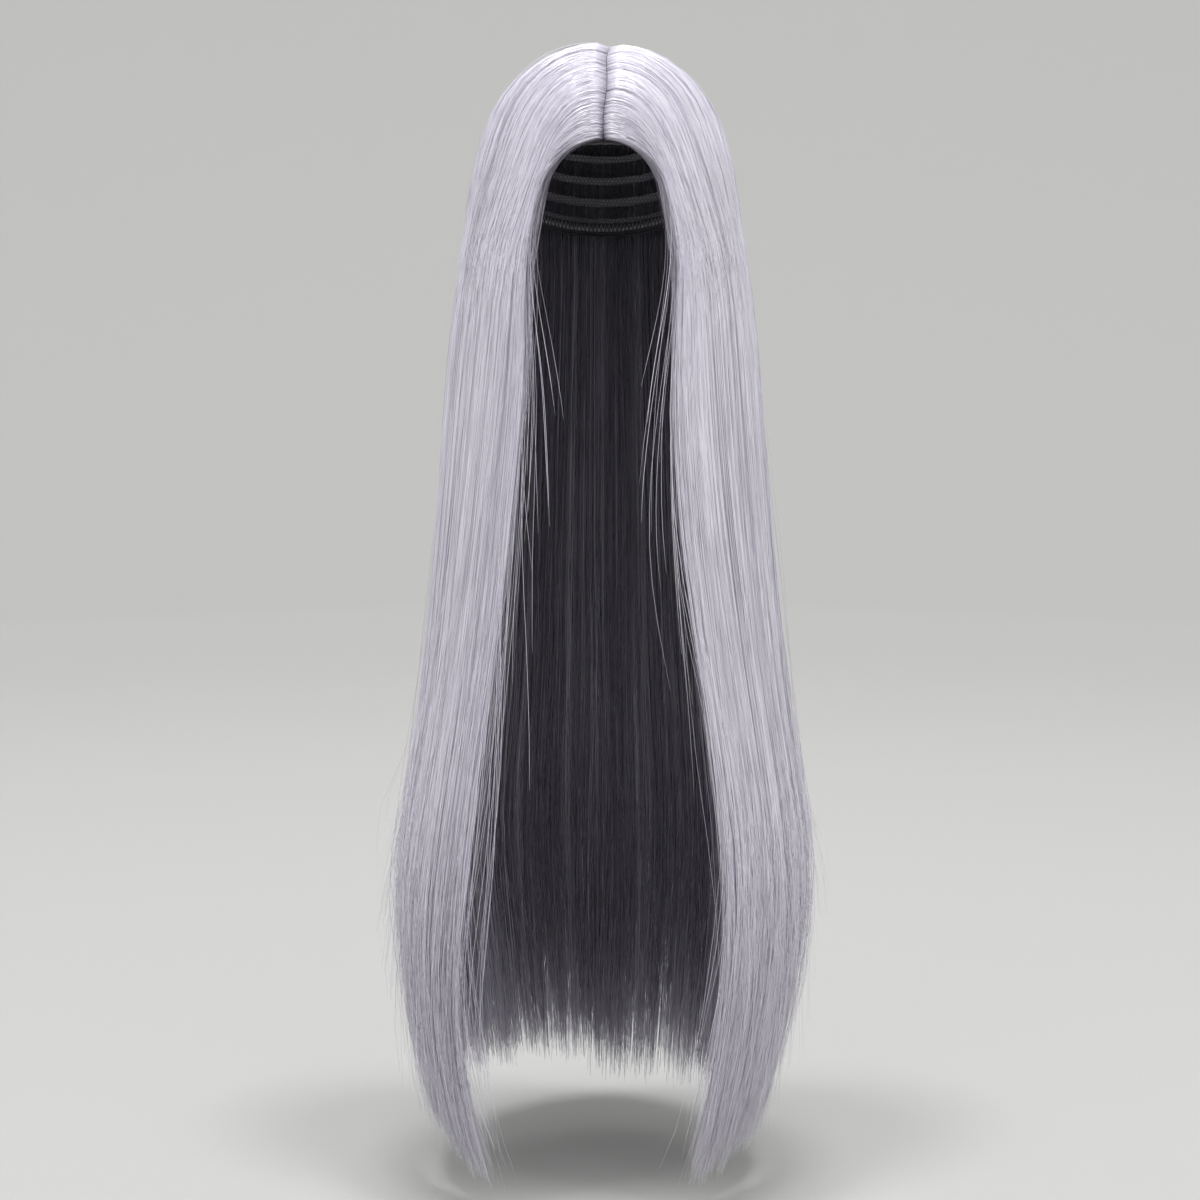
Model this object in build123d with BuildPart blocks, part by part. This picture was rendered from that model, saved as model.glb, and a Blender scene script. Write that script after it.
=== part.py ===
"""Doll wig: long straight hair with a centre parting, sewn in rows on a stretch net cap.

Millimetres. +Z is up and the face opening looks along -Y. The origin is the centre of the doll's
skull, which the cap hugs. Left is the wearer's left, +X. Bearings turn from the front, 0, through
the left side, 90, to the back, 180.
"""
from build123d import *
import os
from math import asin, cos, degrees, radians, sin, sqrt

os.makedirs("parts", exist_ok=True)

# Skull and cap
head_radius = 30.0          # skull of the doll that the cap is cut for
net_thickness = 0.8         # stretch net
cap_tilt = 23.0             # the cap's own axis leans back, so the rim is high in front
rim_drop = 7.0              # how far the rim lies below the skull's centre along the cap's axis
elastic_width = 4.5         # elastic band round the rim, measured along the cap
elastic_thickness = 1.4     # band in its casing, flush with the net inside and proud outside
elastic_bevel = 0.3

# Sewn rows of hair roots
strip_width = 8.0           # fabric strip under the parting
strip_thickness = 0.5
root_width = 1.2            # folded row of roots each side of the parting
root_thickness = 0.9
root_spread = 0.4           # from the middle of the parting to the edge of a row
closure_radius = 5.0        # disc that closes the rows at the crown
weft_rows = 7
weft_height = 2.0
weft_thickness = 1.7
first_weft_angle = 93.0     # lowest row, measured from the cap's axis
weft_step = 12.0            # from one row to the next

# Clearances
layer_gap = 0.3             # between one soft layer and the next
parting_gap = 0.5           # between the crown hair of the two sides

# Hair over the dome
crown_thickness = 3.9       # combed hair over the sewn rows
crown_angle = 70.0          # how far down from the top the combed hair stays round
crown_rounding = 2.4        # how the crown hair rolls into the parting
flare = 0.2                 # how much the hair widens for each millimetre down, as it leaves the head

# Levels down the hair, how far its outside stands off the hair's roots there, and its thickness
lift_level = -8.0           # where the hair leaves the head
lift_spread = 6.8
cheek_level = -41.0
cheek_spread = 11.6
cheek_thickness = 10.0
chest_level = -101.0
chest_spread = 16.7
chest_thickness = 10.0
waist_level = -161.0
waist_spread = 22.7
waist_thickness = 9.0
sweep_level = -206.0        # widest place
sweep_spread = 28.2
sweep_thickness = 8.0
taper_level = -251.0
taper_spread = 23.4
taper_thickness = 6.5
tip_level = -298.0
tip_spread = 13.4
tip_thickness = 3.5

# Hair of the lowest row, inside the back curtain
nape_thickness = 2.5
nape_bearing = 147.0
nape_tip_level = -262.0

# Where the hair divides
side_bearing = 80.0
back_bearing = 135.0

# Half width of the face opening, down its edge
hairline_level = 5.2
brow_level = -4.0
brow_half_width = 13.8
temple_level = -16.0
temple_half_width = 18.4
cheek_half_width = 20.2
chest_half_width = 24.0
waist_half_width = 32.0
sweep_half_width = 37.5
taper_half_width = 38.0
tip_half_width = 28.0

# Worked out from the sizes above
net_radius = head_radius + net_thickness
band_radius = head_radius + elastic_thickness
seam_radius = net_radius + layer_gap
strip_radius = seam_radius + strip_thickness
root_radius = strip_radius + layer_gap
weft_radius = seam_radius + weft_thickness
hair_radius = max(weft_radius, root_radius + root_thickness) + layer_gap
crown_radius = hair_radius + crown_thickness
lift_radius = hair_radius + lift_spread
reach = 2 * (hair_radius + sweep_spread - tip_level)

cap_axis = Axis((0, 0, 0), (0, sin(radians(cap_tilt)), cos(radians(cap_tilt))))
cap_section = Plane(origin=(0, 0, 0), x_dir=(1, 0, 0),
                    z_dir=(0, -cos(radians(cap_tilt)), sin(radians(cap_tilt))))
rim_angle = 90 + degrees(asin(rim_drop / head_radius))
band_angle = rim_angle - degrees(elastic_width / head_radius)
gap_angle = degrees(layer_gap / head_radius)
closure_angle = degrees(closure_radius / seam_radius)
weft_half_angle = degrees(weft_height / 2 / seam_radius)
whorl = (0, crown_radius * sin(radians(cap_tilt)), 0)


def on_cap(radius, angle):
    """A point of the cap's section, at an angle from the cap's axis."""
    return (radius * sin(radians(angle)), radius * cos(radians(angle)))


def dome_section(inner, outer, start, end):
    """Section of a dome, or of a band of one, between two angles from the cap's axis."""
    middle = (start + end) / 2
    with BuildSketch(cap_section) as section:
        with BuildLine():
            outside = ThreePointArc(on_cap(outer, start), on_cap(outer, middle), on_cap(outer, end))
            inside = ThreePointArc(on_cap(inner, start), on_cap(inner, middle), on_cap(inner, end))
            Line(outside @ 0, inside @ 0)
            Line(outside @ 1, inside @ 1)
        make_face()
    return section.sketch


def upright_plane(bearing):
    """The upright plane through the skull's axis whose local x points along a bearing."""
    turn = radians(bearing)
    return Plane(origin=(0, 0, 0), x_dir=(sin(turn), -cos(turn), 0), z_dir=(-cos(turn), -sin(turn), 0))


def layer_points(stations, share, shift=0.0):
    """Points down a hanging layer, a share of its thickness in from the outside."""
    return [(radius - share * thickness + shift, level) for level, radius, thickness in stations]


def hanging_sector(outside, inside, start, end):
    """Hair that hangs between two curves, from one bearing to the next."""
    with BuildPart() as sector:
        with BuildSketch(upright_plane(start)):
            with BuildLine():
                outer_curve = Spline(*outside)
                inner_curve = Spline(*inside)
                Line(outer_curve @ 0, inner_curve @ 0)
                Line(outer_curve @ 1, inner_curve @ 1)
            make_face()
        revolve(axis=Axis.Z, revolution_arc=end - start)
    return sector.part


def write(part, label):
    part.label = label
    export_step(part, f"parts/{label}.step")


def write_pair(part, label):
    """The left piece, and its mirror image on the right."""
    write(part, label.format("left"))
    write(mirror(part, about=Plane.YZ), label.format("right"))


# Stretch net dome, open at the tilted rim
with BuildPart() as cap_net:
    add(dome_section(head_radius, net_radius, 0, band_angle - gap_angle))
    revolve(axis=cap_axis)
write(cap_net.part, "cap_net")

# Elastic band in its casing round the rim
with BuildPart() as edge_elastic:
    add(dome_section(head_radius, band_radius, band_angle, rim_angle))
    revolve(axis=cap_axis)
    chamfer(edge_elastic.edges().filter_by(GeomType.CIRCLE), length=elastic_bevel)
write(edge_elastic.part, "edge_elastic")

# Fabric strip under the parting, from the hairline to the crown
parting_front_angle = band_angle - gap_angle
with BuildPart() as parting_strip:
    add(dome_section(seam_radius, strip_radius, closure_angle + gap_angle, parting_front_angle))
    revolve(axis=cap_axis)
    Box(strip_width, reach, reach, mode=Mode.INTERSECT)
    split(bisect_by=cap_section, keep=Keep.TOP)
write(parting_strip.part, "parting_strip")

# Folded row of hair roots each side of the parting, sewn on the strip
with BuildPart() as part_weft:
    add(dome_section(root_radius, root_radius + root_thickness, closure_angle + gap_angle,
                     parting_front_angle))
    revolve(axis=cap_axis)
    with Locations((root_spread + root_width / 2, 0, 0)):
        Box(root_width, reach, reach, mode=Mode.INTERSECT)
    split(bisect_by=cap_section, keep=Keep.TOP)
write_pair(part_weft.part, "part_weft_{}")

# Disc that closes the rows at the crown
with BuildPart() as crown_closure:
    add(dome_section(seam_radius, weft_radius, 0, closure_angle))
    revolve(axis=cap_axis)
write(crown_closure.part, "crown_closure")

# Sewn rows of hair round the cap, which stop at the strip under the parting
for row in range(weft_rows):
    row_angle = first_weft_angle - row * weft_step
    with BuildPart() as weft_track:
        add(dome_section(seam_radius, weft_radius, row_angle - weft_half_angle,
                         row_angle + weft_half_angle))
        revolve(axis=cap_axis)
        with Locations(cap_section.location):
            Box(strip_width + 2 * layer_gap, reach, reach, mode=Mode.SUBTRACT,
                align=(Align.CENTER, Align.CENTER, Align.MIN))
    write(weft_track.part, f"weft_track_{row + 1}")

# Outline of the face opening, which the crown hair and the front locks leave free
with BuildPart() as face_opening:
    with BuildSketch(Plane.XZ):
        with BuildLine():
            arch = Spline((0, hairline_level), (brow_half_width, brow_level),
                          (temple_half_width, temple_level), (cheek_half_width, cheek_level),
                          tangents=[(1, 0), (0, -1)])
            edge = Spline(arch @ 1, (chest_half_width, chest_level), (waist_half_width, waist_level),
                          (sweep_half_width, sweep_level), (taper_half_width, taper_level),
                          (tip_half_width, tip_level - layer_gap))
            Polyline(edge @ 1, (0, tip_level - layer_gap), arch @ 0)
        make_face()
        mirror(about=Plane.YZ)
    extrude(amount=reach)

# Hair combed over the dome, before it is parted
with BuildPart() as crown_hair:
    with BuildSketch(Plane.XZ):
        with BuildLine():
            top = (0, crown_radius)
            shoulder = (crown_radius * sin(radians(crown_angle)), crown_radius * cos(radians(crown_angle)))
            outside = RadiusArc(top, shoulder, crown_radius)
            flank = Spline(outside @ 1, (lift_radius, lift_level),
                           tangents=[outside % 1, (flare, -1)])
            inside = RadiusArc((0, hair_radius), (hair_radius, 0), hair_radius)
            Polyline(flank @ 1, (hair_radius, lift_level), inside @ 1)
            Line(outside @ 0, inside @ 0)
        make_face()
    revolve(axis=Axis.Z)

# Left side of the parting; the right side mirrors it
side_of_parting = Plane(origin=(parting_gap / 2, 0, 0), z_dir=(1, 0, 0))
turn = radians(back_bearing)
back_divide = Plane(origin=whorl, z_dir=(cos(turn), sin(turn), 0))
with BuildPart() as crown_hair_left:
    add(crown_hair.part)
    split(bisect_by=side_of_parting, keep=Keep.TOP)
    split(bisect_by=back_divide.offset(-layer_gap / 2), keep=Keep.BOTTOM)
    add(face_opening.part, mode=Mode.SUBTRACT)
    parting_edge = crown_hair_left.edges().filter_by_position(
        Axis.X, parting_gap / 2, parting_gap / 2).sort_by(Axis.Z)[-1]
    fillet(parting_edge, radius=min(crown_rounding, crown_thickness - layer_gap))
write_pair(crown_hair_left.part, "crown_hair_{}")

# Hair that falls back from the crown
with BuildPart() as crown_hair_back:
    add(crown_hair.part)
    split(bisect_by=back_divide.offset(layer_gap / 2), keep=Keep.TOP)
    split(bisect_by=Plane(origin=whorl, z_dir=(-cos(turn), sin(turn), 0)).offset(layer_gap / 2),
          keep=Keep.TOP)
write(crown_hair_back.part, "crown_hair_back")

# Hanging hair: the outer layer and the under-layer share the thickness
stations = [(level, hair_radius + spread, thickness) for level, spread, thickness in (
    (lift_level - layer_gap, lift_spread, lift_spread),
    (cheek_level, cheek_spread, cheek_thickness),
    (chest_level, chest_spread, chest_thickness),
    (waist_level, waist_spread, waist_thickness),
    (sweep_level, sweep_spread, sweep_thickness),
    (taper_level, taper_spread, taper_thickness),
    (tip_level, tip_spread, tip_thickness),
)]
layers = {
    "hair": (layer_points(stations, 0), layer_points(stations, 0.5, layer_gap / 2)),
    "underlayer": (layer_points(stations, 0.5, -layer_gap / 2), layer_points(stations, 1)),
}
for layer, (outside, inside) in layers.items():
    with BuildPart() as front_hair:
        add(hanging_sector(outside, inside, 0, side_bearing - gap_angle / 2))
        add(face_opening.part, mode=Mode.SUBTRACT)
    write_pair(front_hair.part, "front_{}_" + layer)
    with BuildPart() as side_hair:
        add(hanging_sector(outside, inside, side_bearing + gap_angle / 2, back_bearing - gap_angle / 2))
    write_pair(side_hair.part, "side_{}_" + layer)
    with BuildPart() as back_hair:
        add(hanging_sector(outside, inside, back_bearing + gap_angle / 2, 360 - back_bearing - gap_angle / 2))
    write(back_hair.part, "back_" + layer)

# Hair of the lowest row, which starts just under that row at the nape
nape_level = weft_radius * cos(radians(first_weft_angle + weft_half_angle + cap_tilt)) - layer_gap
with BuildPart() as nape_hair:
    add(hanging_sector(layer_points(stations, 1, -layer_gap),
                       layer_points(stations, 1, -layer_gap - nape_thickness),
                       nape_bearing, 360 - nape_bearing))
    split(bisect_by=Plane.XY.offset(nape_level), keep=Keep.BOTTOM)
    split(bisect_by=Plane.XY.offset(nape_tip_level), keep=Keep.TOP)
write(nape_hair.part, "nape_hair")
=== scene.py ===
"""Looks of the doll wig: strands of long straight lilac hair on a net cap, parted in the middle.

Metres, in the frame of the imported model: +Z up, the face opening towards -Y, the wearer's left at +X.
Sides are +1 for the wearer's left and -1 for the right. A strand's share is its place across one half
of the hair, from the edge of the face opening, 0, round to the middle of the back, 1. Its depth goes
from the outside of the hair, 0, to the inside, 1. Bearings are angles about the upright axis, from
the front, 0, round to the back. A strand's fall is its place below the lift level, 0, down to the
lowest tip, 1. Tones go from shaded violet, 0, to pale silver, 1. A "way" is a strand's distance off
its smooth course, in millimetres.
"""
import math

import bmesh
import bpy
import numpy as np
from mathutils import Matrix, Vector
from mathutils.bvhtree import BVHTree


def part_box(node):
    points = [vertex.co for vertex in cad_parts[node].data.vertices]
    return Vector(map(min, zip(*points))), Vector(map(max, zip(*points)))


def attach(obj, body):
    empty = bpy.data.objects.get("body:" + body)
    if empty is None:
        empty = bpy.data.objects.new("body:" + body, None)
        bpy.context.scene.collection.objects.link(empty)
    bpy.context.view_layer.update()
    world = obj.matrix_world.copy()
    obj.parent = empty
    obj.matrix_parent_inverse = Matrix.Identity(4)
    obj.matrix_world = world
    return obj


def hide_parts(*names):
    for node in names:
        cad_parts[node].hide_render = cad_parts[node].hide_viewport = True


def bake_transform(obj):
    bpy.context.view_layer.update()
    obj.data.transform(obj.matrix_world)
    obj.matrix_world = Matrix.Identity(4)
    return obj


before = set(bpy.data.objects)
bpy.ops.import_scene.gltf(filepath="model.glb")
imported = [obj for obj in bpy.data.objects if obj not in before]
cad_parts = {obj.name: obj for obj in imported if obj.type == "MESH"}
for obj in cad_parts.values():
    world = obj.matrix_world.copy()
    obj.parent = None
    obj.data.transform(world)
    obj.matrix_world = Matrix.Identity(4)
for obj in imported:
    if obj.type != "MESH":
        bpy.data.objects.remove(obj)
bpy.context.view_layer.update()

MM = 0.001

# ---------------------------------------------------------------- sizes read from the frame
LIFT_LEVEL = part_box("crown_hair_left")[0].z       # where the crown ends and the locks hang free
TIP_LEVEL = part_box("side_left_hair")[0].z
LEVELS = np.linspace(LIFT_LEVEL - 1 * MM, TIP_LEVEL + 0.5 * MM, 60)    # the hair is measured at these

# ---------------------------------------------------------------- where the hair grows and parts
CAP_TILT = math.radians(23)           # the cap's axis leans back, and comes out at the whorl
SIDE_BEARING = math.radians(80)       # where the side hair begins, at the lift level
BACK_BEARING = math.radians(135)      # where the back hair begins
WHORL_BEARING = math.radians(100)     # hair behind this one fans out from the whorl
WHORL_EASE = math.radians(12)         # behind it, the roots spread to the whorl's disc over this
WHORL_SPREAD = 4.5 * MM               # the disc's radius
PARTING_FRONT = math.radians(80)      # the parting's front end, forward of the top
PARTING_BACK = math.radians(-20)      # and its back end, near the whorl
PARTING_LEAN = 2.4 * MM               # the parting runs this far to the left by its back end
PARTING_WAVE = 0.3 * MM               # it wavers by this much
PARTING_GAP = 0.1 * MM                # and each side's roots start this far from its middle
ROOT_DROP = 1.3 * MM                  # roots lie this much under the crown's surface,
ROOT_REACH = 0.5 * MM                 # and strands come up within about this distance
VALLEY_DROP = 0.8 * MM                # the broad dip beside the parting,
VALLEY_REACH = 5 * MM                 # and how far it reaches
WHORL_FLATNESS = 0.75                 # both are this much less deep at the whorl
CROWN_THICKNESS = 3.2 * MM            # of the hair near its roots

# ---------------------------------------------------------------- how the hair hangs
RIGHT_FULLER = 4.5 * MM               # the right lock's ends stand further out by this
OPEN_HIGH = 2.2 * MM                  # the opening stands this much further to the right,
OPEN_LOW = 2.8 * MM                   # and this much more at the locks' ends
COMBED_FORWARD = 5 * MM               # the front hair at the lift level
TUCKED = 0.03                         # share that the outermost hair lies back from the opening's edge
LEFT_SHORTER = 8 * MM                 # side and back hair is shorter than the front locks
RIGHT_SHORTER = 15 * MM
LEFT_THINNING = 20 * MM               # mean length by which strands fall short of their lock's end
RIGHT_THINNING = 16 * MM
LOCK_UNEVEN = 3 * MM                  # a clump ends this much higher or lower than its neighbours
FRAYED_SHORTER = 70 * MM              # frayed strands are up to this much shorter
MOST_SHORT = 100 * MM                 # no strand falls further short, unless it is astray
ASTRAY_SHORTER = (110 * MM, 235 * MM)
FLARE = 45 * MM                       # frayed ends leave the hair over this length
FARTHEST_OUT = 8                      # millimetres that a strand may stand out, and half as many inwards

# ---------------------------------------------------------------- strands and clumps
STRANDS = 1240                        # in each piece
STRAND_RADIUS = 0.09 * MM
FINE = 0.65                           # stray and frayed strands are this much thinner
DOME_RINGS = 12                       # a strand's points on the crown
HANGING_RINGS = 15                    # and below it
FLAT_RADIUS, FLAT_THICKNESS = 50 * MM, 9 * MM    # the hair, laid out flat to gather it into clumps
LOCK_WIDTH = 4.0 * MM                 # of the broad clumps
WISP_WIDTH = 1.1 * MM                 # of the fine ones
LOCK_PULL = (0.04, 0.14)              # how far strands draw into a clump by the lift level, and then more
WISP_PULL = (0.08, 0.26)
INNER_LOOSER = 0.7                    # the inner strands draw in this much less
WAVE_RATES = np.linspace(0.5, 2.2, 3)    # waves along a strand
CROWN_RISE = 0.08                     # of its looseness, how far a strand wanders up off the crown,
CROWN_DRIFT = 0.25                    # and sideways, in millimetres
LOOSENESS = [1, 3, 7]                 # millimetres that strands wander near their tips
LOOSENESS_ODDS = [0.91, 0.065, 0.025]    # of each
EDGE_LOOSENESS, EDGE_ODDS = 5, 0.12   # of some strands at the very edge of the opening
FRAY_ODDS = 0.13
FRAY_SPREAD = 2.0                     # millimetres; frayed tips stand about twice as far out
ASTRAY_ODDS, ASTRAY_LOOSENESS = 0.006, 4
ASTRAY_SIDEWAYS = (4, 14)             # millimetres that a tip strays into the face opening

# ---------------------------------------------------------------- tones
TONE = 0.64                           # of the outermost hair
LEFT_PALER = 0.018                    # than the middle of the two sides
STRAND_TONES = 0.09                   # spreads of tone between strands, and between clumps
LOCK_TONES = 0.04
WISP_TONES = 0.06
INNER_PAINTED_SHADE = 0.38                   # painted shade on the hair's inside, deeper strands darker, more in the back curtain
BACK_INNER_PAINTED_SHADE = 0.68
CROWN_PAINTED_SHADE = 0.12                   # painted shade on top of the head,
ROOT_PAINTED_SHADE = 0.12                    # and more painted shade at the roots,
NOTCH_PAINTED_SHADOW = 0.45                   # a painted shadow where the parting meets the opening,
WHORL_PAINTED_SHADE = 0.10                   # and painted shade at the whorl
LIFT_PAINTED_SHADE = 0.07                    # painted shade at the lift level
LOW_PAINTED_SHADE = 0.19                     # painted shade low down, near the tips
TIP_PALER = 0.38                      # the tips themselves
EDGE_PAINTED_SHADE = 0.26                    # painted shade along the opening, on outer strands
EDGE_INSIDE_PAINTED_SHADE = 0.24             # and on under strands


# ---------------------------------------------------------------- the hair's form, measured on the frame
def node_tree(node):
    """A search tree over a CAD node's faces."""
    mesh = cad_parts[node].data
    return BVHTree.FromPolygons([v.co for v in mesh.vertices], [p.vertices for p in mesh.polygons])


def layer_radii():
    """Outer radius and thickness of the hanging hair, down its levels."""
    bearing = (SIDE_BEARING + BACK_BEARING) / 2
    out = Vector((math.sin(bearing), -math.cos(bearing), 0))
    outer_tree, inner_tree = node_tree("side_left_hair"), node_tree("side_left_underlayer")
    outer, inner = [], []
    for level in LEVELS:
        middle = Vector((0, 0, level))
        outer.append(outer_tree.ray_cast(middle + out, -out)[0].xy.length)
        inner.append(inner_tree.ray_cast(middle, out)[0].xy.length)
    return np.array(outer), np.array(outer) - np.array(inner)


def rounded_off(values, reach):
    """A measured row with its corners eased over a distance."""
    step = (LEVELS[0] - LEVELS[-1]) / (len(LEVELS) - 1)
    ends = math.ceil(3 * reach / step)
    weights = np.exp(-0.5 * (np.arange(-ends, ends + 1) * step / reach) ** 2)
    before = values[0] - (values[ends:0:-1] - values[0])
    after = values[-1] - (values[-2:-ends - 2:-1] - values[-1])
    return np.convolve(np.concatenate([before, values, after]), weights / weights.sum(), "valid")


def opening_edge():
    """Half width of the face opening, down its levels, a quarter of the way into the hair."""
    tree = node_tree("front_left_hair")
    widths = []
    for level, outer, thickness in zip(LEVELS, OUTER_RADIUS, THICKNESS):
        width = 0.75 * outer
        # Each try looks across from where the last one met the edge.
        for _ in range(8):
            back = math.sqrt(max((outer - thickness / 4) ** 2 - width ** 2, 0))
            hit = tree.ray_cast(Vector((0, -back, level)), Vector((1, 0, 0)))[0]
            width = hit.x if hit else width
        widths.append(width)
    return rounded_off(np.array(widths), 9 * MM)


def dome_radii():
    """Distance from the head's centre to the outside of the crown hair, by angle from the top."""
    tree = node_tree("crown_hair_left")
    lowest = math.atan2(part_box("crown_hair_left")[1].x, LIFT_LEVEL)
    angles = np.linspace(math.radians(6), lowest - 0.004, 40)    # from beside the parting down
    side = (SIDE_BEARING + BACK_BEARING) / 2
    radii = []
    for angle in angles:
        out = Vector((math.sin(angle) * math.sin(side), -math.sin(angle) * math.cos(side), math.cos(angle)))
        radii.append(tree.ray_cast(out, -out)[0].length)
    return angles, np.array(radii)


OUTER_RADIUS, THICKNESS = layer_radii()
EDGE_HALF_WIDTH = opening_edge()
DOME_ANGLES, DOME_RADII = dome_radii()
LIFT_EDGE = math.asin(EDGE_HALF_WIDTH[0] / OUTER_RADIUS[0])


def smooth(x):
    """0 to 1 with level ends."""
    x = np.clip(x, 0, 1)
    return x * x * (3 - 2 * x)


def rising(x, start, reach):
    """0 up to start, and 1 from reach past it on."""
    return smooth((x - start) / reach)


def fading(x, reach):
    """1 at 0, and about a third as much after each reach."""
    return np.exp(-x / reach)


def unit(vectors):
    """The vectors' directions, each 1 long."""
    return vectors / np.linalg.norm(vectors, axis=-1, keepdims=True)


def at_level(levels, values):
    """A measured row of values, looked up at other levels."""
    return np.interp(-levels, -LEVELS, values)


def wander(rng, along, owner):
    """Smooth random curves about 1 high, a row to each strand. Strands of one owner share a curve."""
    total = np.zeros((len(owner), along.shape[-1]))
    for rate in WAVE_RATES:
        height = rng.normal(0, 1, owner.max() + 1)[owner, None] * (WAVE_RATES[0] / rate) ** 0.8
        phase = rng.random(owner.max() + 1)[owner, None]
        total += height * np.sin(2 * math.pi * (rate * along + phase))
    return total


def mixed_way(rng, along, owners, weights):
    """Curves of a strand and its clumps, added by weight."""
    return sum(weight * wander(rng, along, owner) for owner, weight in zip(owners, weights))


# ---------------------------------------------------------------- where the strands run
def hanging_place(side, share, depth, level, sideways=0.0, outwards=0.0):
    """Points of the hanging hair, in metres. The right lock is fuller, and the opening leans to it."""
    low = rising(-level, 180 * MM, 90 * MM)
    fuller = RIGHT_FULLER * low * (1 - share) * (1 - side) / 2
    radius = at_level(level, OUTER_RADIUS) + fuller - depth * at_level(level, THICKNESS) + outwards
    opened = -side * (OPEN_HIGH * rising(-level, 0, 110 * MM) + OPEN_LOW * low)

    # High up, the outermost hair is tucked back from the edge and the hair behind it combed forward.
    tucked = fading(share, 0.05) * (1 - rising(-level, 0, 70 * MM)) * (1 - rising(depth, 0, 0.4))
    share = share + TUCKED * tucked
    combed = rising(share, 0, 0.12) * (1 - rising(share, 0.2, 0.3)) * fading(LIFT_LEVEL - level, 26 * MM)
    sideways = sideways - COMBED_FORWARD * combed

    edge = np.arcsin(np.clip((at_level(level, EDGE_HALF_WIDTH) + opened) / radius, 0, 0.95))
    bearing = edge + share * (math.pi - edge) + sideways / radius
    return np.stack([side * radius * np.sin(bearing), -radius * np.cos(bearing), level + 0 * radius], -1)


def root_and_heading(side, bearing, spread):
    """Where a strand leaves the parting or the whorl, its heading, and how deep the parting is there."""
    back = np.clip((bearing - LIFT_EDGE) / (WHORL_BEARING - LIFT_EDGE), 0, 1)
    angle = PARTING_FRONT + back * (PARTING_BACK - PARTING_FRONT)
    root = DOME_RADII[0] * np.stack([0 * angle, -np.sin(angle), np.cos(angle)], -1)
    root[:, 0] += PARTING_LEAN * back + PARTING_WAVE * np.sin(9 * angle) + side * PARTING_GAP
    turn = np.clip((bearing - WHORL_BEARING) / (math.pi - WHORL_BEARING), 0, 1) * math.pi / 2
    heading = np.stack([side * np.cos(turn), np.sin(turn) * math.cos(CAP_TILT),
                        -np.sin(turn) * math.sin(CAP_TILT)], -1)
    root += (rising(bearing, WHORL_BEARING, WHORL_EASE) * spread)[:, None] * heading
    return root, heading, 1 - WHORL_FLATNESS * back ** 2


def crown_path(side, share, root_share, spread, depth, steps):
    """Points from the parting over the crown to the lift level, and how far each is from its root."""
    root_bearing = LIFT_EDGE + root_share * (math.pi - LIFT_EDGE)
    start, heading, sunk = root_and_heading(side, root_bearing, spread)
    end = hanging_place(side, share, depth, np.full_like(share, LIFT_LEVEL))
    below = hanging_place(side, share, depth, np.full_like(share, LIFT_LEVEL - 6 * MM))

    # The curve leaves along the strand's heading and arrives pointing down its lock.
    reach = np.linalg.norm(end - start, axis=-1, keepdims=True)
    leave, arrive = heading * reach * 1.15, unit(below - end) * reach * 1.05
    t = steps[None, :, None]
    curve = ((2 * t ** 3 - 3 * t ** 2 + 1) * start[:, None] + (t ** 3 - 2 * t ** 2 + t) * leave[:, None]
             + (3 * t ** 2 - 2 * t ** 3) * end[:, None] + (t ** 3 - t ** 2) * arrive[:, None])

    # It gives the direction only; the crown's measured surface gives the distance from the centre.
    out = unit(curve)
    late = rising(steps, 0.5, 0.5)[None]
    inset = depth[:, None] * (CROWN_THICKNESS * (1 - late) + THICKNESS[0] * late)
    radius = np.interp(np.arccos(out[..., 2]), DOME_ANGLES, DOME_RADII) - inset
    end_radius = np.interp(np.arccos(unit(end)[:, 2]), DOME_ANGLES, DOME_RADII) - depth * THICKNESS[0]
    radius += (np.linalg.norm(end, axis=-1) - end_radius)[:, None] * late ** 2
    from_root = np.linalg.norm(curve - start[:, None], axis=-1)
    dip = ROOT_DROP * fading(from_root, ROOT_REACH)
    dip += VALLEY_DROP * fading(from_root ** 2, VALLEY_REACH ** 2)
    radius -= sunk[:, None] * dip
    return out * radius[..., None], from_root


def gather(rng, share, depth, width):
    """Sorts strands into clumps about width wide. Gives each strand's clump, and its clump's middle."""
    girth = FLAT_RADIUS * (math.pi - LIFT_EDGE)
    here = np.stack([share * girth, depth * FLAT_THICKNESS], -1)
    count = max(2, int(np.ptp(here[:, 0]) * max(np.ptp(here[:, 1]), width) / width ** 2))
    middles = here[rng.choice(len(here), count, replace=False)]
    nearest = np.array([np.argmin(((middles - point) ** 2).sum(-1)) for point in here])
    return nearest, middles[nearest, 0] / girth, middles[nearest, 1] / FLAT_THICKNESS


def tip_levels(rng, side, share, lock, fray, astray):
    """Where strands end. The hair thins out towards its tips, and stray strands end far up."""
    thinning = LEFT_THINNING if side > 0 else RIGHT_THINNING
    short = rng.gamma(2, thinning / 2, len(share))
    short += rng.uniform(-LOCK_UNEVEN, LOCK_UNEVEN, lock.max() + 1)[lock]
    short += rising(share, 0, 0.3) * (LEFT_SHORTER if side > 0 else RIGHT_SHORTER)
    short = np.clip(short + (fray > 0) * rng.uniform(0, FRAYED_SHORTER, len(share)), 0, MOST_SHORT)
    return TIP_LEVEL + np.where(astray > 0, rng.uniform(*ASTRAY_SHORTER, len(share)), short)


def ring_places(rng, count):
    """How far down a hanging strand its rings are, closer at both ends and staggered between strands."""
    even = np.linspace(0, 1, HANGING_RINGS)[None].repeat(count, 0)
    even[:, 1:-1] += rng.uniform(-0.4, 0.4, (count, 1)) / HANGING_RINGS
    down = 0.5 * even ** 1.35 + 0.5 * (1 - (1 - even) ** 1.35)
    down[:, 0] = 0.025 * rng.random(count)
    return down


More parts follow.
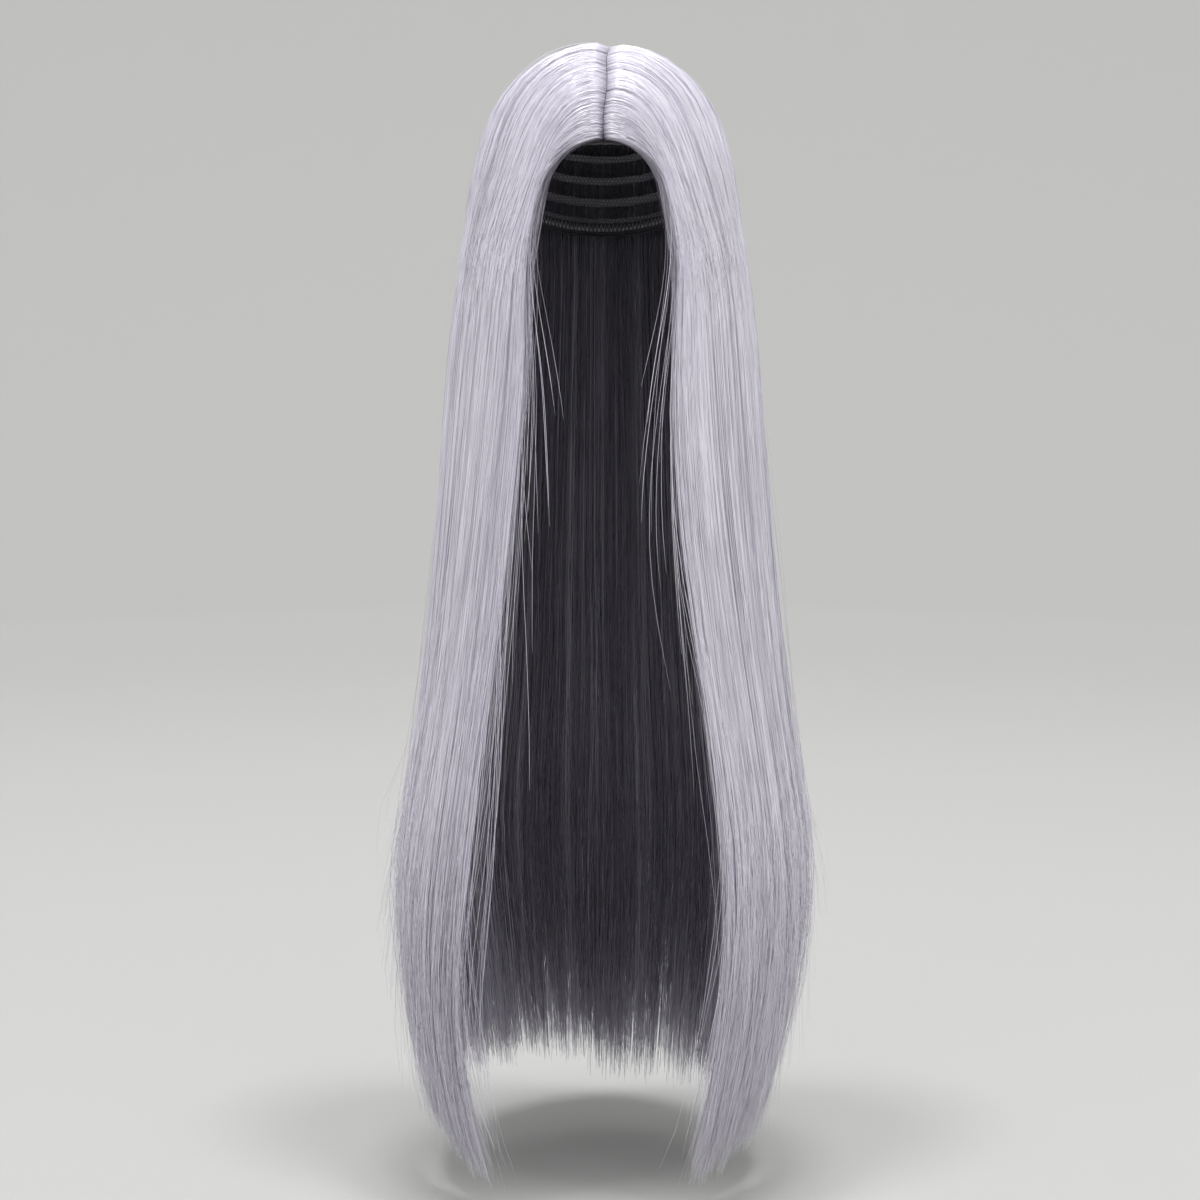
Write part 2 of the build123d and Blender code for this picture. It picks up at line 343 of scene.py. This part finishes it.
def tones_along(rng, share, lock, wisp, steps, from_root, fall, from_tip):
    """How much paler than the hair's own tone each point of a strand is: random tones of clumps, painted
    shade over the crown, at the roots, the parting's front end, the whorl, the lift level and low down, and
    paler tips.
    """
    clumps = LOCK_TONES * rng.normal(0, 1, lock.max() + 1)[lock]
    clumps += WISP_TONES * rng.normal(0, 1, wisp.max() + 1)[wisp]
    at_whorl = rising(share, 0.45, 0.1)[:, None]
    at_edge = fading(np.maximum(share, 0), 0.02)[:, None]
    # Painted shade over the crown, a little less by the lift level.
    crown = (CROWN_PAINTED_SHADE - LIFT_PAINTED_SHADE) * rising(steps, 0.4, 0.6)[None] - CROWN_PAINTED_SHADE
    # Painted shade among the roots.
    crown = crown - ROOT_PAINTED_SHADE * fading(from_root, 1.3 * MM)
    # A painted shadow at the parting's front end, by the opening.
    crown -= NOTCH_PAINTED_SHADOW * at_edge * fading(from_root, 1.6 * MM)
    # Painted shade at the whorl's roots.
    crown -= WHORL_PAINTED_SHADE * at_whorl * fading(from_root, 6 * MM)
    # Painted shade just below the lift level and low down towards the tips; the tips themselves paler.
    hanging = TIP_PALER * fading(from_tip, 18 * MM) - LIFT_PAINTED_SHADE * (1 - rising(fall, 0, 0.3))
    hanging -= LOW_PAINTED_SHADE * rising(fall, 0.55, 0.3)
    return clumps[:, None] + np.concatenate([crown, hanging], 1)


def strand_paths(rng, side, share, depth, looseness, fray, astray):
    """Points of strands from root to tip, a row to each strand, and how pale each is along its length."""
    own = np.arange(len(share))
    lock, lock_share, lock_depth = gather(rng, share, depth, LOCK_WIDTH)
    wisp, wisp_share, wisp_depth = gather(rng, share, depth, WISP_WIDTH)
    tip = tip_levels(rng, side, share, lock, fray, astray)
    down = ring_places(rng, len(share))
    level = LIFT_LEVEL + (tip[:, None] - LIFT_LEVEL) * down
    fall = (LIFT_LEVEL - level) / (LIFT_LEVEL - TIP_LEVEL)
    from_tip = level - tip[:, None]

    # Strands draw into their clumps as they fall, the inner ones less.
    drawn = 1 - INNER_LOOSER * rising(depth, 0, 0.5)[:, None]
    to_lock = drawn * (LOCK_PULL[0] + LOCK_PULL[1] * fall ** 1.5)
    to_wisp = drawn * (WISP_PULL[0] + WISP_PULL[1] * fall)
    share_now = (share + to_lock.T * (lock_share - share) + to_wisp.T * (wisp_share - share)).T
    depth_now = (depth + to_lock.T * (lock_depth - depth) + to_wisp.T * (wisp_depth - depth)).T

    # Points on the crown lie closer together at both ends, most of all at the root.
    steps = np.linspace(0, 1, DOME_RINGS + 1)[:-1]
    steps = 0.6 * steps ** 1.6 + 0.4 * (1 - (1 - steps) ** 1.4)
    root_share = share + 0.45 * (wisp_share - share)
    spread = WHORL_SPREAD * rng.random(len(share)) ** 0.8
    crown, from_root = crown_path(side, share_now[:, 0], root_share, spread, depth_now[:, 0], steps)

    # Each strand's own way over the crown runs on below the lift level, where it dies out.
    out = unit(crown)
    beside = side * unit(np.cross(out, np.gradient(crown, axis=1)))
    whole = np.concatenate([np.broadcast_to(steps, from_root.shape), 1 + 4 * fall], 1)
    near = np.concatenate([rising(from_root, 0, 6 * MM), np.exp(-6 * fall)], 1)
    rise = CROWN_RISE * near * np.minimum(looseness, 4)[:, None] * wander(rng, whole, own)
    drift = CROWN_DRIFT * near * wander(rng, whole, own)
    crown += MM * (out * rise[:, :DOME_RINGS, None] + beside * drift[:, :DOME_RINGS, None])

    # Below, the ways of the strand, its lock and its wisp add up, and frayed ends flare.
    loose = looseness[:, None] * (0.15 * rising(fall, 0, 1 / 8) + fall ** 1.5)
    sideways = loose * mixed_way(rng, fall, (own, lock, wisp), (0.8, 1.0, 0.3))
    outwards = loose * mixed_way(rng, fall, (own, lock, wisp), (0.3, 0.4, 0.2))
    flare = np.clip(1 - from_tip / FLARE, 0, 1) ** 1.5
    outwards += (fray * (1 - depth) ** 3)[:, None] * flare + rise[:, DOME_RINGS:]
    sideways += (fray * rng.normal(0, 0.5, len(share)))[:, None] * flare + drift[:, DOME_RINGS:]
    sideways -= astray[:, None] * down ** 1.2
    outwards = np.clip(outwards, -FARTHEST_OUT / 2, FARTHEST_OUT)
    hanging = hanging_place(side, share_now, depth_now, level, sideways * MM, outwards * MM)
    paler = tones_along(rng, share, lock, wisp, steps, from_root, fall, from_tip)
    return np.concatenate([crown, hanging], 1), paler


# ---------------------------------------------------------------- meshes
def place_object(name, data):
    """A new object in the scene, with a mesh, a lamp or a camera."""
    ob = bpy.data.objects.new(name, data)
    bpy.context.scene.collection.objects.link(ob)
    return ob


def surface(name, points, faces):
    """A smooth surface through a grid of points."""
    mesh = bpy.data.meshes.new(name)
    mesh.from_pydata(points.reshape(-1, 3).tolist(), [], faces.reshape(-1, 4).tolist())
    mesh.polygons.foreach_set("use_smooth", np.ones(len(mesh.polygons), bool))
    return place_object(name, mesh)


def tube_points(paths, radii, sides):
    """A ring of corners round every point of the paths, turned by chance from path to path."""
    along = unit(np.gradient(paths, axis=1))
    outward = paths * np.array([1, 1, 0.3]) + 1e-9
    across = unit(np.cross(along, outward))
    up = np.cross(across, along)
    turn = np.random.default_rng(len(paths)).random((len(paths), 1, 1)) * 2 * math.pi
    angle = turn + np.arange(sides)[None, None] * 2 * math.pi / sides
    ring = (across[:, :, None] * np.cos(angle)[..., None] + up[:, :, None] * np.sin(angle)[..., None])
    return paths[:, :, None] + ring * radii[:, :, None, None]


def texture_places(corners, count, rings, sides):
    """Where the corners of tubes lie in the texture. The tubes stand side by side there, in rows."""
    rows = 4
    columns = math.ceil(count / rows)
    strand, rest = np.divmod(corners, rings * sides)
    step, corner = np.divmod(rest, sides)
    u = (strand // rows + 0.3 + 0.4 * corner / (sides - 1)) / columns
    v = (strand % rows + 0.02 + 0.96 * step / (rings - 1)) / rows
    return np.stack([u, v], -1)


def tubes(name, paths, radii, tones, sides=3):
    """Thin closed tubes in one object, one along each row of paths, with a tone at every point."""
    count, rings = paths.shape[:2]
    index = np.arange(count * rings * sides).reshape(count, rings, sides)
    here, there = index[:, :-1], index[:, 1:]
    walls = np.stack([here, np.roll(here, -1, 2), np.roll(there, -1, 2), there], -1).reshape(-1, 4)
    caps = np.concatenate([index[:, 0, ::-1], index[:, -1]])
    corners = np.concatenate([walls.reshape(-1), caps.reshape(-1)])
    sizes = np.concatenate([np.full(len(walls), 4), np.full(len(caps), sides)])
    mesh = bpy.data.meshes.new(name)
    mesh.vertices.add(index.size)
    mesh.vertices.foreach_set("co", tube_points(paths, radii, sides).reshape(-1).astype(np.float32))
    mesh.loops.add(len(corners))
    mesh.loops.foreach_set("vertex_index", corners.astype(np.int32))
    mesh.polygons.add(len(sizes))
    mesh.polygons.foreach_set("loop_start", np.concatenate([[0], np.cumsum(sizes)[:-1]]).astype(np.int32))
    mesh.polygons.foreach_set("use_smooth", np.ones(len(sizes), bool))
    mesh.update(calc_edges=True)

    tone = mesh.attributes.new("tone", "FLOAT", "POINT")
    tone.data.foreach_set("value", np.repeat(tones[:, :, None], sides, 2).reshape(-1).astype(np.float32))
    texture = mesh.uv_layers.new(name="OFBake")
    places = texture_places(corners, count, rings, sides)
    texture.data.foreach_set("uv", places.reshape(-1).astype(np.float32))
    return place_object(name, mesh)


# ---------------------------------------------------------------- materials
SHADED_HAIR = (0.10, 0.09, 0.125, 1)  # at the tone 0
LILAC_HAIR = (0.69, 0.66, 0.765, 1)   # half way
PALE_HAIR = (0.93, 0.915, 0.96, 1)    # at the tone 1
THREAD_GRAIN = 900                    # cells of uneven colour in a metre of thread
GRAIN_DARK, GRAIN_PALE = 0.7, 1.25    # of the thread's colour


def new_material(name):
    """A new material, its nodes and links, and its shader."""
    material = bpy.data.materials.new(name)
    material.use_nodes = True
    nodes = material.node_tree.nodes
    return material, nodes, material.node_tree.links, nodes["Principled BSDF"]


def hair_material():
    """Lilac fibre with a soft gloss; its tone runs from shaded violet to pale silver."""
    material, nodes, links, shader = new_material("lilac_hair")
    tone = nodes.new("ShaderNodeAttribute")
    tone.attribute_name = "tone"
    ramp = nodes.new("ShaderNodeValToRGB")
    ramp.color_ramp.elements[0].color = SHADED_HAIR
    ramp.color_ramp.elements[1].color = PALE_HAIR
    ramp.color_ramp.elements.new(0.5).color = LILAC_HAIR
    links.new(tone.outputs["Fac"], ramp.inputs["Fac"])
    links.new(ramp.outputs["Color"], shader.inputs["Base Color"])
    shader.inputs["Roughness"].default_value = 0.22
    shader.inputs["Specular IOR Level"].default_value = 0.8
    return material


def thread_material(name, colour, roughness):
    """Twisted thread, a little uneven in colour."""
    material, nodes, links, shader = new_material(name)
    noise = nodes.new("ShaderNodeTexNoise")
    noise.inputs["Scale"].default_value = THREAD_GRAIN
    place = nodes.new("ShaderNodeTexCoord")
    ramp = nodes.new("ShaderNodeValToRGB")
    ramp.color_ramp.elements[0].color = (*[GRAIN_DARK * part for part in colour], 1)
    ramp.color_ramp.elements[1].color = (*[GRAIN_PALE * part for part in colour], 1)
    links.new(place.outputs["Object"], noise.inputs["Vector"])
    links.new(noise.outputs["Fac"], ramp.inputs["Fac"])
    links.new(ramp.outputs["Color"], shader.inputs["Base Color"])
    shader.inputs["Roughness"].default_value = roughness
    return material


# ---------------------------------------------------------------- the locks
HAIR = hair_material()


def make_lock(name, body, side, shares, depths, hides, seed):
    """The strands of one lock, between two shares and two depths."""
    rng = np.random.default_rng(seed)
    own = np.arange(STRANDS)
    in_front, outermost = body.startswith("front"), depths[0] == 0
    share = rng.uniform(*shares, STRANDS)
    depth = depths[0] + (depths[1] - depths[0]) * rng.random(STRANDS) ** 1.8    # more of them outside
    looseness = rng.choice(LOOSENESS, STRANDS, p=LOOSENESS_ODDS)
    fray = (rng.random(STRANDS) < FRAY_ODDS) * rng.gamma(2, FRAY_SPREAD, STRANDS)
    astray = np.zeros(STRANDS)
    if in_front and outermost:
        astray += (rng.random(STRANDS) < ASTRAY_ODDS) * rng.uniform(*ASTRAY_SIDEWAYS, STRANDS)
        share = np.where(astray > 0, 0.01, share)
        looseness = np.where(astray > 0, ASTRAY_LOOSENESS, looseness)
    if in_front:
        at_edge = rng.random(STRANDS) < EDGE_ODDS * fading(share, 0.02)
        looseness = np.where(at_edge, EDGE_LOOSENESS, looseness)
    paths, paler = strand_paths(rng, side, share, depth, looseness, fray, astray)

    along = np.linspace(0, 1, paths.shape[1])[None]
    thick = STRAND_RADIUS * rng.uniform(0.7, 1.25, (STRANDS, 1)) * (1 - 0.6 * rising(along, 0.9, 0.1))
    thick *= np.where((looseness > 3) | (fray > 2) | (astray > 0), FINE, 1)[:, None]
    tone = TONE + rng.normal(0, STRAND_TONES, (STRANDS, 1)) + 0.03 * wander(rng, along, own)
    # painted shade on the hair's inside: deeper strands darker, most in the back curtain
    inner_painted_shade = BACK_INNER_PAINTED_SHADE if body == "back_curtain" else INNER_PAINTED_SHADE
    tone += paler - inner_painted_shade * depth[:, None] + LEFT_PALER * side
    # Painted shade high up along the face opening, where the hair turns under.
    if in_front:
        edge_painted_shade = EDGE_PAINTED_SHADE * rising(along, 0.10, 0.2) if outermost else EDGE_INSIDE_PAINTED_SHADE
        high = 1 - rising(-paths[..., 2], 0, 100 * MM)
        tone -= edge_painted_shade * fading(share, 0.035)[:, None] * high
    ob = tubes(name, paths, thick, np.clip(tone, 0.02, 1))
    ob.data.materials.append(HAIR)
    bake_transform(ob)
    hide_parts(*hides)


def share_of(bearing):
    """The share of a strand at a bearing, at the lift level."""
    return (bearing - LIFT_EDGE) / (math.pi - LIFT_EDGE)


MINGLE = 0.012                        # neighbouring locks share this much at their border
FRONT_SHARES = (0.0, share_of(SIDE_BEARING) + MINGLE)
SIDE_SHARES = (share_of(SIDE_BEARING) - MINGLE, share_of(BACK_BEARING) + MINGLE)
BACK_SHARES = (share_of(BACK_BEARING) - MINGLE, 1.03)
OVER, UNDER = (0.0, 0.4), (0.25, 1.0)    # depths of the outer layers and of the under layer

# Each lock has some outer layers, which stand for its hair and the crown's, and one under layer.
seed = 0
for side, hand in ((1, "left"), (-1, "right")):
    front, flank, crown = f"front_{hand}", f"side_{hand}", f"crown_hair_{hand}"
    for place, body, shares, layers, hair, lining in (
            (front, front + "_lock", FRONT_SHARES, 3, [front + "_hair", crown], [front + "_underlayer"]),
            (flank, flank + "_lock", SIDE_SHARES, 2, [flank + "_hair", crown], [flank + "_underlayer"]),
            ("back_" + hand, "back_curtain", BACK_SHARES, 2, ["back_hair", "crown_hair_back"],
             ["back_underlayer", "nape_hair"])):
        for layer in range(layers):
            make_lock(f"{place}_outer_strands_{layer + 1}", body, side, shares, OVER, hair, seed + layer)
        make_lock(f"{place}_under_strands", body, side, shares, UNDER, lining, seed + layers)
        seed += layers + 1


# ---------------------------------------------------------------- the cap under the hair
NET_COLOUR = (0.11, 0.104, 0.118)
ELASTIC_COLOUR = (0.075, 0.070, 0.080)
SEAM_COLOUR = (0.45, 0.43, 0.48)
WEFT_COLOUR = (0.42, 0.40, 0.46)
RIM_ANGLE = math.radians(103.5)       # the elastic's lower and upper edge, from the cap's axis
BAND_ANGLE = math.radians(94.9)
BAND_MIDDLE, BAND_HALF = (RIM_ANGLE + BAND_ANGLE) / 2, (RIM_ANGLE - BAND_ANGLE) / 2
NET_ANGLE = BAND_ANGLE + math.radians(1)    # the net reaches a little way under the elastic
NET_RADIUS = 30.4 * MM
NET_THREAD = 0.20 * MM                # diameter
ELASTIC_INNER, ELASTIC_OUTER = 30.0 * MM, 31.4 * MM
ELASTIC_CORDS = 5                     # raised cords on each face
CORD_GROOVE = 0.14 * MM               # between them
ELASTIC_GATHERS = 120                 # round the rim
GATHER_HEIGHT = 0.06 * MM
GATHER_SWAY = 0.003                   # radians that its edges waver with them
ZIGZAG_STITCHES = 150
ZIGZAG_THREAD = 0.11 * MM             # radius
ZIGZAG_PROUD = 0.04 * MM              # its middle lies this much inside the elastic
ZIGZAG_LOW, ZIGZAG_HIGH = 0.35, -0.75    # across the elastic, from -1 at its upper edge to 1


def cap_frame():
    """Three directions square to each other, the last along the cap's axis."""
    return np.array([[1, 0, 0], [0, math.cos(CAP_TILT), -math.sin(CAP_TILT)],
                     [0, math.sin(CAP_TILT), math.cos(CAP_TILT)]])


def around_cap(angle, turn, radius):
    """Points at an angle from the cap's axis, turned about it from the left."""
    across, back, axis = cap_frame()
    flat = np.cos(turn)[..., None] * across + np.sin(turn)[..., None] * back
    return (np.sin(angle)[..., None] * flat + np.cos(angle)[..., None] * axis) * radius[..., None]


def knit_net():
    """The stretch net of the cap: threads along the sides of six-sided meshes."""
    # The threads join the middles of neighbouring triangles of a fine ball.
    ball = bmesh.new()
    bmesh.ops.create_icosphere(ball, subdivisions=6, radius=1)
    middles = {face: np.array(face.calc_center_median().normalized()) for face in ball.faces}
    rim = math.cos(NET_ANGLE)
    axis = cap_frame()[2]
    threads = []
    for edge in ball.edges:
        first, second = (middles[face] for face in edge.link_faces)
        if min(first @ axis, second @ axis) > rim:
            threads.append((first, second))
    ball.free()
    paths = np.array(threads) * NET_RADIUS
    radii = np.full(paths.shape[:2], NET_THREAD / 2)
    net = tubes("cap_net_knit", paths, radii, np.full(paths.shape[:2], 0.5))
    net.data.materials.append(thread_material("net_thread", NET_COLOUR, 0.55))
    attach(net, "cap")
    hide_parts("cap_net")


def ribbed_elastic():
    """The flat elastic round the rim: raised cords along it, gathered a little where it is sewn."""
    turns, steps = 360, 72
    turn = np.linspace(0, 2 * math.pi, turns, endpoint=False)[:, None]
    step = np.arange(steps)[None] / steps
    # The steps go once round the band's section: across its inside, over an edge, and back outside.
    across = np.clip(2.4 * (np.abs(((step + 0.25) % 1) * 2 - 1) - 0.5), -1, 1)
    inside = np.where(step < 0.5, 1, -1) * rising(1 - np.abs(across), 0, 0.08)
    cords = 0.5 + 0.5 * np.cos(across * math.pi * ELASTIC_CORDS)
    middle = (ELASTIC_INNER + ELASTIC_OUTER) / 2
    thickness = (ELASTIC_OUTER - ELASTIC_INNER) / 2 - CORD_GROOVE * (1 - cords)
    radius = middle - inside * thickness + GATHER_HEIGHT * np.sin(turn * ELASTIC_GATHERS)
    sway = GATHER_SWAY * np.sin(turn * ELASTIC_GATHERS / 2)
    points = around_cap(BAND_MIDDLE + BAND_HALF * across + sway, turn + 0 * step, radius)
    index = np.arange(turns * steps).reshape(turns, steps)
    ahead, beside = np.roll(index, -1, 0), np.roll(index, -1, 1)
    faces = np.stack([index, ahead, np.roll(ahead, -1, 1), beside], -1)
    band = surface("edge_elastic_band", points, faces)
    band.data.materials.append(thread_material("elastic", ELASTIC_COLOUR, 0.6))
    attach(band, "cap")
    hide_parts("edge_elastic")


def zigzag_stitch():
    """The zigzag seam that holds the elastic to the net, seen from inside."""
    turn = np.arange(2 * ZIGZAG_STITCHES + 1) * math.pi / ZIGZAG_STITCHES
    across = np.where(np.arange(len(turn)) % 2, ZIGZAG_LOW, ZIGZAG_HIGH)
    radius = np.full(len(turn), ELASTIC_INNER - ZIGZAG_PROUD)
    corners = around_cap(BAND_MIDDLE + BAND_HALF * across, turn, radius)
    paths = np.stack([corners[:-1], corners[1:]], 1)
    radii = np.full(paths.shape[:2], ZIGZAG_THREAD)
    seam = tubes("elastic_zigzag", paths, radii, np.full(paths.shape[:2], 0.5), sides=5)
    seam.data.materials.append(thread_material("seam_thread", SEAM_COLOUR, 0.5))
    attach(seam, "cap")


def sewn_rows():
    """The sewn bands of hair, the parting's strip and the closure keep their solids, in thread."""
    thread = thread_material("weft_thread", WEFT_COLOUR, 0.6)
    for node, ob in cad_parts.items():
        if node.startswith(("weft_track", "part_weft", "crown_closure", "parting_strip")):
            for slot in ob.material_slots:
                slot.material = thread


knit_net()
ribbed_elastic()
zigzag_stitch()
sewn_rows()


# ---------------------------------------------------------------- floor, lights, camera
FLOOR_DROP = 5 * MM                   # the tips hang this far above the floor
FLOOR_COLOUR = (0.41, 0.41, 0.403, 1)
FLOOR_REACH, WALL_START = 3.4, 1.2    # radii of the backdrop, and of its flat middle
WALL_RISE = 0.55                      # height of the wall a metre past that
WORLD_LIGHT = 0.30
LAMPS_AIM = Vector((0, 0, -60 * MM))  # below the head's centre
SOFT_BOXES = (                        # name, place, side and watts
    ("key", (0, -0.25, 2.4), 0.6, 28),
    ("key_left", (0.58, -0.32, 2.35), 0.35, 25),
    ("key_right", (-0.58, -0.32, 2.35), 0.35, 25))
SUN_WIDTH = math.radians(60)          # wide, for soft shadows
SUNS = (                              # name, where the light comes from, and strength
    ("fill_left", (0.6, -1, 0.38), 1.05),
    ("fill_right", (-0.6, -1, 0.38), 1.05),
    ("back", (0, 0.9, 0.5), 1.4))
CAMERA_PLACE = (-0.001, -0.730, -0.053)
CAMERA_DIP = math.radians(5.87)       # below level
CAMERA_LENS, CAMERA_SENSOR = 72.9, 36


def backdrop():
    """A round pale floor that curves up into a wall on every side."""
    rings, turns = 60, 96
    reach = np.linspace(0, 1, rings)[:, None] ** 1.5 * FLOOR_REACH
    turn = np.linspace(0, 2 * math.pi, turns, endpoint=False)[None]
    height = TIP_LEVEL - FLOOR_DROP + WALL_RISE * np.maximum(reach - WALL_START, 0) ** 2 + 0 * turn
    points = np.stack([reach * np.cos(turn), reach * np.sin(turn), height], -1)
    index = np.arange(rings * turns).reshape(rings, turns)
    beside = np.roll(index, -1, 1)
    floor = surface("studio_floor", points, np.stack([index[:-1], index[1:], beside[1:], beside[:-1]], -1))
    floor.visible_shadow = False
    material, _, _, shader = new_material("studio_floor")
    shader.inputs["Base Color"].default_value = FLOOR_COLOUR
    shader.inputs["Roughness"].default_value = 0.9
    floor.data.materials.append(material)


def add_lamp(lamp, place, towards_light):
    """A lamp at a place; it shines away from where its light comes from."""
    ob = place_object(lamp.name, lamp)
    ob.location = place
    ob.rotation_euler = Vector(towards_light).to_track_quat("Z", "Y").to_euler()


def studio():
    """Soft light from above, fainter light from all round, and the photo's view."""
    scene = bpy.context.scene
    scene.view_settings.view_transform = "Standard"
    backdrop()
    world = bpy.data.worlds.new("studio")
    world.use_nodes = True
    world.node_tree.nodes["Background"].inputs["Color"].default_value = (1, 1, 1, 1)
    world.node_tree.nodes["Background"].inputs["Strength"].default_value = WORLD_LIGHT
    scene.world = world

    for name, place, size, watts in SOFT_BOXES:
        box = bpy.data.lights.new(name, "AREA")
        box.size = size
        box.energy = watts
        add_lamp(box, place, Vector(place) - LAMPS_AIM)
    for name, towards_light, strength in SUNS:
        sun = bpy.data.lights.new(name, "SUN")
        sun.angle = SUN_WIDTH
        sun.energy = strength
        add_lamp(sun, (0, 0, 1), towards_light)

    camera = bpy.data.cameras.new("camera")
    camera.lens = CAMERA_LENS
    camera.sensor_width = CAMERA_SENSOR
    ob = place_object("camera", camera)
    ob.location = CAMERA_PLACE
    ob.rotation_euler = (math.radians(90) - CAMERA_DIP, 0, 0)
    scene.camera = ob


studio()
